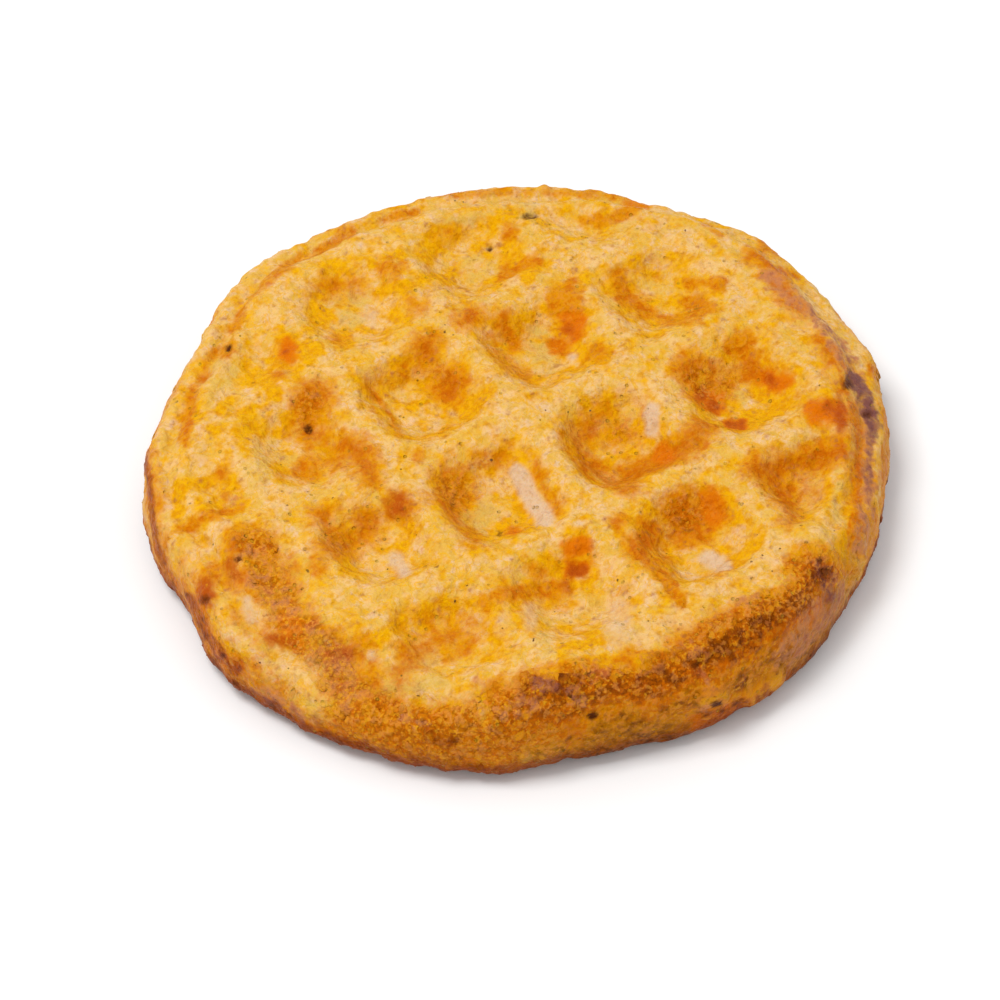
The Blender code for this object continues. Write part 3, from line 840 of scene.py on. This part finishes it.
class Nodes:
    """Short ways to build one material's nodes."""

    def __init__(self, name):
        self.material = bpy.data.materials.new(name)
        self.material.use_nodes = True
        self.tree = self.material.node_tree
        self.shader = self.tree.nodes["Principled BSDF"]
        place = self.tree.nodes.new("ShaderNodeTexCoord")
        scaled = self.tree.nodes.new("ShaderNodeVectorMath")
        scaled.operation = "SCALE"
        scaled.inputs["Scale"].default_value = 1.0 / MM
        self.tree.links.new(place.outputs["Object"], scaled.inputs[0])
        self.millimetres = scaled.outputs[0]

    def put(self, socket, value):
        """A value on a socket: a number, a colour or another node's output."""
        if isinstance(value, bpy.types.NodeSocket):
            self.tree.links.new(value, socket)
        elif isinstance(value, tuple):
            socket.default_value = (*value, 1.0)
        else:
            socket.default_value = value

    def math(self, operation, first, second=0.0):
        node = self.tree.nodes.new("ShaderNodeMath")
        node.operation = operation
        self.put(node.inputs[0], first)
        self.put(node.inputs[1], second)
        return node.outputs[0]

    def noise(self, size, detail=2.0, stretch=0.0):
        """Noise from 0 to 1 with lumps of a size in millimetres."""
        node = self.tree.nodes.new("ShaderNodeTexNoise")
        self.put(node.inputs["Vector"], self.millimetres)
        node.inputs["Scale"].default_value = 1.0 / size
        node.inputs["Detail"].default_value = detail
        node.inputs["Distortion"].default_value = stretch
        return node.outputs["Fac"]

    def cells(self, size):
        """Distance from the middle of scattered cells of a size in millimetres."""
        node = self.tree.nodes.new("ShaderNodeTexVoronoi")
        self.put(node.inputs["Vector"], self.millimetres)
        node.inputs["Scale"].default_value = 1.0 / size
        return node.outputs["Distance"]

    def steps(self, value, low, high, out_low=0.0, out_high=1.0):
        """A value taken from one range to another, held at its ends."""
        node = self.tree.nodes.new("ShaderNodeMapRange")
        node.interpolation_type = "SMOOTHSTEP"
        self.put(node.inputs["Value"], value)
        ends = {"From Min": low, "From Max": high, "To Min": out_low, "To Max": out_high}
        for name, number in ends.items():
            node.inputs[name].default_value = number
        return node.outputs["Result"]

    def mix(self, share, first, second, blend="MIX"):
        node = self.tree.nodes.new("ShaderNodeMix")
        node.data_type = "RGBA"
        node.blend_type = blend
        self.put(node.inputs["Factor"], share)
        self.put(node.inputs["A"], first)
        self.put(node.inputs["B"], second)
        return node.outputs["Result"]

    def attribute(self, name):
        """The three kinds kept in one attribute."""
        node = self.tree.nodes.new("ShaderNodeAttribute")
        node.attribute_name = name
        split = self.tree.nodes.new("ShaderNodeSeparateColor")
        self.tree.links.new(node.outputs["Color"], split.inputs[0])
        return split.outputs

    def bump(self, height, distance, strength, before=None):
        node = self.tree.nodes.new("ShaderNodeBump")
        node.inputs["Strength"].default_value = strength
        node.inputs["Distance"].default_value = distance * MM
        self.put(node.inputs["Height"], height)
        if before is not None:
            self.put(node.inputs["Normal"], before)
        return node.outputs["Normal"]


def crust_material():
    """The baked skin: pale batter, gold, amber and brown in turn, with cheese, onion and burnt places."""
    make = Nodes("baked potato crust")
    marks = {}
    for attribute, kinds in ATTRIBUTES.items():
        for output, kind in zip(make.attribute(attribute), kinds):
            marks[kind] = output
    broad = make.noise(4.0, 2.0)
    patch = make.noise(2.2, 5.0, 0.3)
    mottle = make.noise(1.3, 3.0)
    curd = make.noise(0.8, 2.0)
    fine = make.noise(0.55, 3.0)
    tiny = make.noise(0.25, 2.0)

    def spread(share, field, grip, low, high):
        """A share whose edges follow a noise: none of it below low, all of it above high."""
        swing = make.math("MULTIPLY", make.math("SUBTRACT", field, 0.5), grip)
        return make.steps(make.math("ADD", share, swing), low, high)

    def times(first, second):
        return make.math("MULTIPLY", first, second)

    def both(first, first_share, second, second_share):
        """Two values added, each by its share."""
        return make.math("ADD", times(first, first_share), times(second, second_share))

    granules = both(fine, 0.6, tiny, 0.4)
    drift = both(broad, 0.4, patch, 0.6)
    patchy = both(patch, 0.5, mottle, 0.5)
    # Pale batter, with blushed places and thin gold veins
    colour = make.mix(make.steps(drift, 0.43, 0.56), PALE, CREAM)
    colour = make.mix(times(make.steps(make.noise(1.7, 3.0), 0.54, 0.68), 0.75), colour, BLUSH)
    colour = make.mix(times(make.steps(curd, 0.5, 0.36), 0.55), colour, PALE)
    vein = make.math("ABSOLUTE", make.math("SUBTRACT", make.noise(2.7, 4.0, 0.6), 0.5))
    colour = make.mix(times(make.steps(vein, 0.035, 0.0), 0.7), colour, GOLD)
    colour = make.mix(spread(marks["green"], mottle, 0.8, 0.1, 0.9), colour, GREEN)
    gold = make.mix(make.steps(curd, 0.38, 0.62), GOLD_DEEP, GOLD)
    kept_pale = both(marks["cream"], 0.45, marks["green"], 0.45)
    gold_share = make.math("SUBTRACT", marks["gold"], kept_pale)
    gold_share = spread(gold_share, make.noise(2.4, 2.5), 2.1, 0.08, 0.68)
    colour = make.mix(gold_share, colour, gold)
    # Pale flecks: the batter's own pale granules, and painted glints standing in for small highlights
    fleck_and_glint_share = make.math("SUBTRACT", 0.30, times(gold_share, 0.24))
    colour = make.mix(times(make.steps(granules, 0.52, 0.64), fleck_and_glint_share), colour, CREAM)
    wall = make.mix(make.steps(drift, 0.53, 0.40), WALL, WALL_DEEP)
    wall = make.mix(times(make.steps(curd, 0.47, 0.37), 0.5), wall, WALL_DEEP)
    colour = make.mix(spread(marks["wall"], broad, 0.6, 0.1, 0.9), colour, wall)
    amber = make.mix(make.steps(mottle, 0.56, 0.4), AMBER, AMBER_DEEP)
    colour = make.mix(spread(marks["amber"], patch, 1.2, 0.0, 0.75), colour, amber)
    grain = marks["grain"]
    grainy = make.math("ADD", times(grain, 0.35), 0.65)
    deep = spread(times(marks["brown"], grainy), patchy, 4.4, 0.62, 1.20)
    brown = make.mix(deep, BROWN, BROWN_DEEP)
    colour = make.mix(spread(marks["brown"], curd, 1.2, 0.05, 0.85), colour, brown)
    colour = make.mix(spread(marks["pink"], mottle, 2.0, 0.15, 1.0), colour, PINK)
    colour = make.mix(spread(marks["cheese"], mottle, 0.5, 0.0, 1.0), colour, CHEESE)
    colour = make.mix(spread(marks["red"], mottle, 0.7, 0.0, 1.1), colour, RED)
    colour = make.mix(spread(marks["purple"], mottle, 1.4, 0.1, 1.1), colour, PURPLE)
    colour = make.mix(times(spread(marks["onion"], mottle, 0.5, 0.1, 0.9), 0.85), colour, ONION)
    # Crumbs in the browned places: light tops, partly the crumbs' own paler colour and partly painted light,
    # and dark gaps, the browned ground darkened further with painted shade
    lumpy = make.math("ADD", times(curd, 0.4), both(fine, 0.35, mottle, 0.25))
    crumb = make.mix(make.steps(mottle, 0.42, 0.58), CRUMB_TOP, CRUMB_PINK)
    rough = make.math("MAXIMUM", grain, times(marks["amber"], 0.5))
    less_brown = make.math("SUBTRACT", 1.0, times(marks["brown"], 0.35))
    lit_tops = times(times(make.steps(lumpy, 0.5, 0.57), rough), less_brown)
    shaded_gaps = times(times(make.steps(lumpy, 0.495, 0.43), grain), times(marks["brown"], 0.95))
    colour = make.mix(shaded_gaps, colour, CRUMB_GAP_SHADE)
    colour = make.mix(make.math("MAXIMUM", lit_tops, marks["light"]), colour, crumb)
    # Painted shade: the colour is darkened towards SHADE in the hollows of the curd and mottle noise, which
    # also raise the bump
    hollow_shade = both(make.steps(curd, 0.48, 0.34), 0.5, make.steps(mottle, 0.46, 0.34), 0.5)
    hollow_shade_share = make.math("SUBTRACT", 0.42, times(grain, 0.2))
    colour = make.mix(times(hollow_shade, hollow_shade_share), colour, SHADE, "MULTIPLY")
    # Painted shade: the dimmed places are darkened by multiplying with a cool shade colour
    colour = make.mix(spread(marks["dim_shade"], patchy, 2.4, 0.1, 0.95), colour, DIM_SHADE, "MULTIPLY")
    colour = make.mix(spread(marks["char_and_contact_shadow"], fine, 0.6, 0.1, 0.9), colour, DARK)
    # Herb and pepper specks
    speck = make.steps(make.cells(3.4), 0.055, 0.035)
    chosen = make.steps(make.noise(5.0, 0.0), 0.52, 0.56)
    colour = make.mix(times(times(speck, chosen), 0.7), colour, HERB)
    # Small pits: sunk by the bump, and darkened inside with painted shade
    pore = make.steps(make.cells(1.7), 0.19, 0.09)
    pore = times(pore, make.steps(make.noise(3.6, 1.0), 0.5, 0.6))
    colour = make.mix(times(pore, 0.55), colour, PORE_SHADE)
    make.put(make.shader.inputs["Base Color"], colour)
    gloss = make.steps(mottle, 0.3, 0.7, 0.38, 0.58)
    gloss = make.math("SUBTRACT", gloss, times(marks["cheese"], 0.12))
    make.put(make.shader.inputs["Roughness"], gloss)
    normal = make.bump(mottle, 0.65, 0.8)
    normal = make.bump(times(curd, make.math("ADD", times(rough, 0.25), 0.4)), 0.7, 0.8, normal)
    normal = make.bump(times(fine, make.math("ADD", times(grain, 0.5), 0.4)), 0.26, 0.8, normal)
    normal = make.bump(make.math("SUBTRACT", 1.0, pore), 0.3, 0.7, normal)
    make.put(make.shader.inputs["Normal"], normal)
    make.shader.inputs["IOR"].default_value = 1.25
    make.shader.inputs["Specular IOR Level"].default_value = 0.4
    make.shader.inputs["Specular Tint"].default_value = (1.0, 0.55, 0.06, 1.0)
    make.shader.inputs["Subsurface Weight"].default_value = 0.1
    make.shader.inputs["Subsurface Radius"].default_value = (1.0, 0.45, 0.15)
    make.shader.inputs["Subsurface Scale"].default_value = 1.2 * MM
    return make.material


def make_camera(shift):
    """The photograph's camera: it looks at the waffle from above its front left."""
    right, up, back = (Vector(axis) for axis in camera_axes())
    lens = bpy.data.cameras.new("photo camera")
    lens.sensor_width = SENSOR
    lens.lens = FOCAL_PIXELS / PICTURE * SENSOR
    lens.clip_start = CLIP_START_M
    camera = bpy.data.objects.new("photo camera", lens)
    turn = Matrix((right, up, back)).transposed().to_4x4()
    turn.translation = (Vector(CAMERA_AIM) - Vector((*shift, 0.0)) + back * CAMERA_DISTANCE) * MM
    camera.matrix_world = turn
    bpy.context.scene.collection.objects.link(camera)
    bpy.context.scene.camera = camera


def add_softbox():
    light = bpy.data.lights.new("overhead softbox", "AREA")
    light.size = SOFTBOX_SIZE
    light.energy = SOFTBOX_POWER
    lamp = bpy.data.objects.new("overhead softbox", light)
    lamp.location = SOFTBOX_PLACE
    lamp.rotation_euler = (Vector(SOFTBOX_AIM) - lamp.location).to_track_quat("-Z", "Y").to_euler()
    bpy.context.scene.collection.objects.link(lamp)


def make_stage():
    """The floor, the sky and the light."""
    bpy.ops.mesh.primitive_plane_add(size=FLOOR_SIZE, location=(0.0, 0.0, FLOOR_LEVEL))
    floor = bpy.context.object
    floor.name = "floor"
    material = bpy.data.materials.new("pale floor")
    material.use_nodes = True
    shader = material.node_tree.nodes["Principled BSDF"]
    shader.inputs["Base Color"].default_value = FLOOR_COLOUR
    shader.inputs["Roughness"].default_value = FLOOR_ROUGHNESS
    floor.data.materials.append(material)
    world = bpy.data.worlds.new("studio")
    bpy.context.scene.world = world
    world.use_nodes = True
    sky = world.node_tree.nodes["Background"]
    sky.inputs["Color"].default_value = SKY_COLOUR
    sky.inputs["Strength"].default_value = SKY_STRENGTH
    add_softbox()
    bpy.context.scene.view_settings.view_transform = "Standard"


def scattered(rng, points, faces, weights, count):
    """Random places on the skin, more where the weights are high: corners and shares of each face."""
    corners = points[faces]
    area = np.linalg.norm(np.cross(corners[:, 1] - corners[:, 0], corners[:, 2] - corners[:, 0]), axis=1)
    chance = area * weights[faces].mean(axis=1)
    chosen = faces[rng.choice(len(faces), count, p=chance / chance.sum())]
    shares = rng.dirichlet((1.0, 1.0, 1.0), count)
    return chosen, shares


def unit_ball(subdivisions):
    """The points and triangles of a small round lump."""
    ball = bmesh.new()
    bmesh.ops.create_icosphere(ball, subdivisions=subdivisions, radius=1.0)
    points = np.array([vertex.co[:] for vertex in ball.verts])
    faces = np.array([[vertex.index for vertex in face.verts] for face in ball.faces])
    ball.free()
    return points, faces


def lumps_at(rng, centres, outward, radii, subdivisions):
    """Small flattened uneven lumps on the skin: their points, triangles and how high each point stands."""
    count = len(centres)
    across = np.cross(outward, rng.normal(size=(count, 3)))
    across /= np.linalg.norm(across, axis=1, keepdims=True)
    frames = np.stack([across, np.cross(outward, across), outward], axis=1)
    ball, triangles = unit_ball(subdivisions)
    radius = radii[0] + (radii[1] - radii[0]) * rng.uniform(0.0, 1.0, count) ** 1.6
    stretch = rng.uniform(*CRUMB_SHAPE, (count, 1, 3))
    lumpy = 1.0 + rng.uniform(-CRUMB_UNEVEN, CRUMB_UNEVEN, (count, len(ball), 1))
    shape = np.einsum("ijk,ikl->ijl", ball[None] * stretch * lumpy, frames) * radius[:, None, None]
    shape += (centres - outward * (radius * stretch[:, 0, 2] * CRUMB_SUNK)[:, None])[:, None, :]
    triangles = triangles[None] + (np.arange(count) * len(ball))[:, None, None]
    return shape.reshape(-1, 3), triangles.reshape(-1, 3), ball[:, 2]


def add_crumbs(name, material, shift, rng, skin, weights, count, radii, subdivisions):
    """A piece of many small lumps baked onto the skin, lighter on top and darker at their feet: painted
    light and shade.
    """
    points, normals, faces, values = skin
    chosen, shares = scattered(rng, points, faces, weights, count)
    centres = np.einsum("ijk,ij->ik", points[chosen], shares)
    outward = np.einsum("ijk,ij->ik", normals[chosen], shares)
    outward /= np.linalg.norm(outward, axis=1, keepdims=True)
    places, triangles, heights = lumps_at(rng, centres, outward, radii, subdivisions)
    # Painted light: each lump is paler and less brown towards its top; the random tone is the crumbs' own
    # colour
    top = fade(heights, 0.5, 1.0)[None]
    marks = {kind: np.einsum("ij,ij->i", value[chosen], shares)[:, None] for kind, value in values.items()}
    tone = fade(rng.uniform(0.0, 1.0, (count, 1)), 0.1, 1.0)
    marks["light"] = tone * (0.9 - 0.4 * marks["brown"]) * (1.0 - marks["char_and_contact_shadow"]) * (0.1 + 0.9 * top)
    marks["light"] *= 0.3 + 0.7 * np.maximum(marks["grain"], marks["amber"])
    marks["brown"] = marks["brown"] * (1.0 - 0.3 * top)
    marks = {kind: np.clip(value + 0.0 * top, 0.0, 1.0).ravel() for kind, value in marks.items()}
    finish_crumbs(name, material, shift, places, triangles, marks, outward)


def add_herbs(material, shift, rng, skin, tree):
    """Herb and pepper specks where the photograph shows them."""
    values = skin[-1]
    centres = on_surface(tree, SPECKS)
    outward = np.tile([0.0, 0.0, 1.0], (len(centres), 1))
    places, triangles, _ = lumps_at(rng, centres, outward, HERB_RADII, 2)
    marks = {kind: np.zeros(len(places)) for kind in values}
    marks["char_and_contact_shadow"] += 0.65
    finish_crumbs("herb_specks", material, shift, places, triangles, marks, outward)


def finish_crumbs(name, material, shift, places, triangles, marks, outward):
    """Makes the lumps' piece. Their shading leans towards the skin's, so that they melt into it."""
    around = np.repeat(outward, len(places) // len(outward), axis=0)
    shading = (1.0 - CRUMB_SOFTNESS) * normals_of(places, triangles) + CRUMB_SOFTNESS * around
    places[:, :2] -= shift
    places[:, 2] = np.maximum(places[:, 2], 0.02)
    mesh = make_mesh(name, places, triangles.tolist())
    mesh.normals_split_custom_set_from_vertices(shading.tolist())
    store(mesh, marks)
    add_piece(name, mesh, material)


def add_piece(name, mesh, material):
    piece = bpy.data.objects.new(name, mesh)
    bpy.context.scene.collection.objects.link(piece)
    mesh.materials.append(material)
    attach(piece, "root")
    return piece


def main():
    azimuths, shares, faces = skin_mesh()
    points = place(azimuths, shares)
    corners = np.array(faces)
    tree = BVHTree.FromPolygons(points.tolist(), faces)
    normals = normals_of(points, corners)
    values = bake_values(points, normals, azimuths, shares, tree)
    shift = (points[:, :2].max(axis=0) + points[:, :2].min(axis=0)) / 2.0
    points += normals * relief(points, normals, values)[:, None]
    swell_edge(points, azimuths)
    points[:, 2] = np.maximum(points[:, 2], 0.0)
    points[:, :2] -= shift
    mesh = make_mesh("waffle skin", points, faces)
    store(mesh, values)
    material = crust_material()
    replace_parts(add_piece("waffle_skin", mesh, material), "waffle")
    rng = np.random.default_rng(SEED)
    points[:, :2] += shift
    on_top = shares < UPPER_SHARE + 0.75 * WALL_SHARE
    inside = outline(azimuths) - np.hypot(*points[:, :2].T)
    browned = on_top * fade(values["grain"], 0.15, 0.8) * (1.0 - 0.85 * values["wall"])
    browned *= 1.0 - 0.75 * fade(inside, *POCKET_CLEAR_OF_EDGE) * (shares < UPPER_SHARE)
    rough = on_top * (0.25 + 0.75 * values["amber"]) * (1.0 - values["onion"]) * (1.0 - 0.8 * values["wall"])
    skin = (points, normals, corners, values)
    scatter = (
        ("crust_crumbs", browned, CRUST_CRUMBS, CRUST_CRUMB_RADII, 2),
        ("crust_grit", browned, CRUST_GRIT, CRUST_GRIT_RADII, 1),
        ("batter_grains", rough, BATTER_GRAINS, BATTER_GRAIN_RADII, 1),
    )
    for name, *wanted in scatter:
        add_crumbs(name, material, shift, rng, skin, *wanted)
    baked_tree = BVHTree.FromPolygons(points.tolist(), faces)
    add_herbs(material, shift, rng, skin, baked_tree)
    make_camera(shift)
    make_stage()


main()
